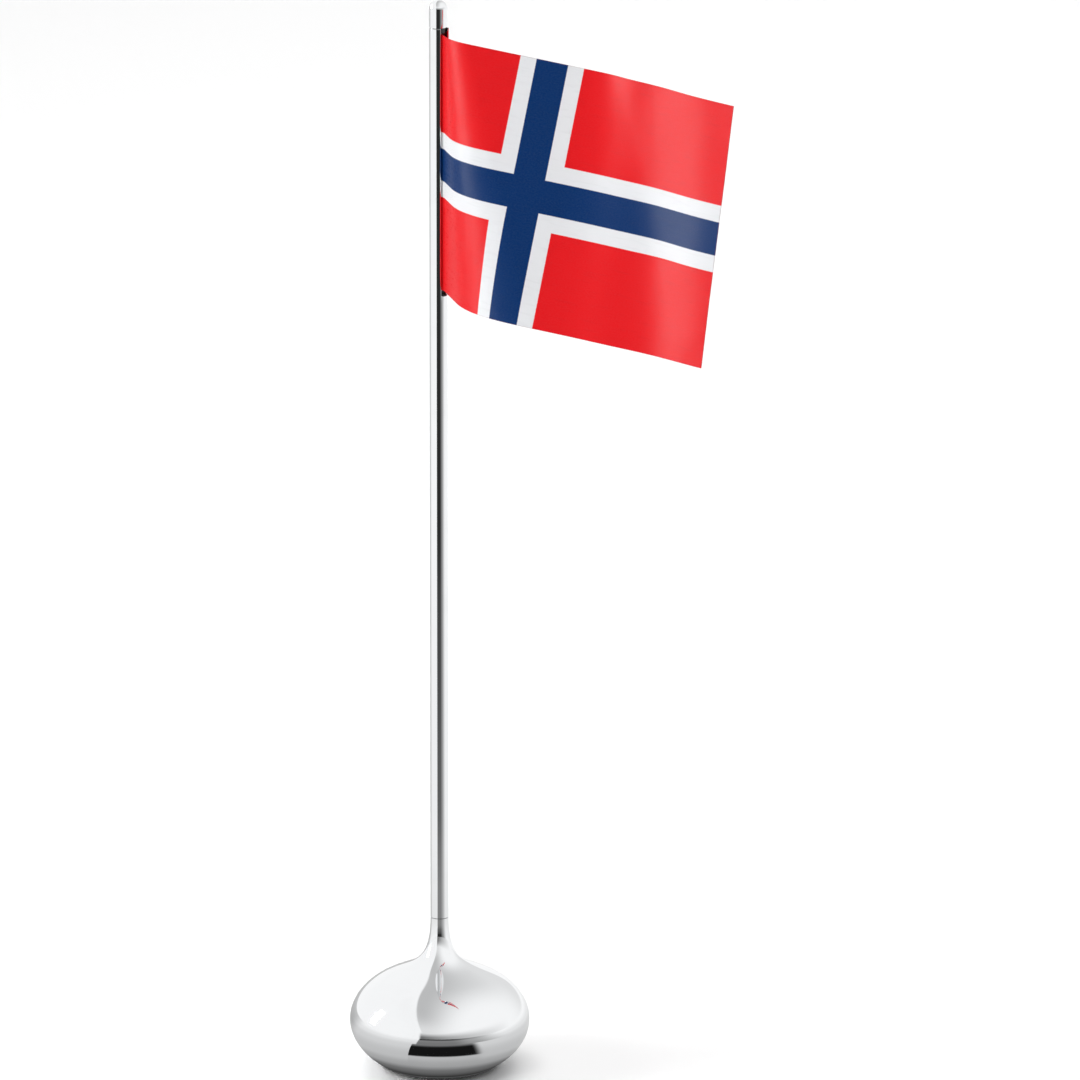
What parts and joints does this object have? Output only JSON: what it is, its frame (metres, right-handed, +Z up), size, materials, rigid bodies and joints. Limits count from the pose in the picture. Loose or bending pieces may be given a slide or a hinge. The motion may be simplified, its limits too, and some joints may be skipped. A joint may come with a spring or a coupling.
{
  "type": "desk flag stand",
  "caption": "Chromed drop-based table flag stand: slim slotted tube pole, domed pull-out cap with a hoist rod, and a small satin flag sleeved on the rod.",
  "frame": {"origin": "centre of the foot pad's underside, on the pole's axis", "axes": "+Z up along the pole, +X roughly the way the flag flies from the pole"},
  "size_m": [0.142, 0.057, 0.35],
  "materials": {
    "chrome_plate": "bright chrome plating",
    "pad_rubber": "matt foam rubber",
    "black_paint": "black painted steel sheet",
    "cast_iron": "raw casting",
    "zinc_plate": "zinc-plated steel",
    "black_plastic": "black moulded plastic",
    "rod_steel": "drawn steel wire",
    "flag_satin": "printed polyester satin: white and blue cross on red"
  },
  "bodies": {
    "stand": {"base_shell": "chrome_plate", "foot_pad": "pad_rubber", "base_plate": "black_paint", "ballast_weight": "cast_iron", "pole_stud": "zinc_plate", "ballast_washer": "zinc_plate", "spring_washer": "zinc_plate", "stud_nut": "zinc_plate", "pole_tube": "chrome_plate", "pole_insert": "zinc_plate", "rod_socket": "black_plastic"},
    "cap_and_rod": {"cap_shell": "chrome_plate", "cap_plug": "black_plastic", "hoist_rod": "rod_steel"},
    "flag": {"flag_cloth": "flag_satin"}
  },
  "joints": [
    {"name": "cap_lift", "type": "slide", "parent": "stand", "child": "cap_and_rod", "axis": [0, 0, 1], "range_m": [0, 0.097]},
    {"name": "flag_swing", "type": "hinge", "parent": "cap_and_rod", "child": "flag", "pos_m": [0, 0, 0.3], "axis": [0, 0, 1], "range_deg": [-8, 48]}
  ]
}
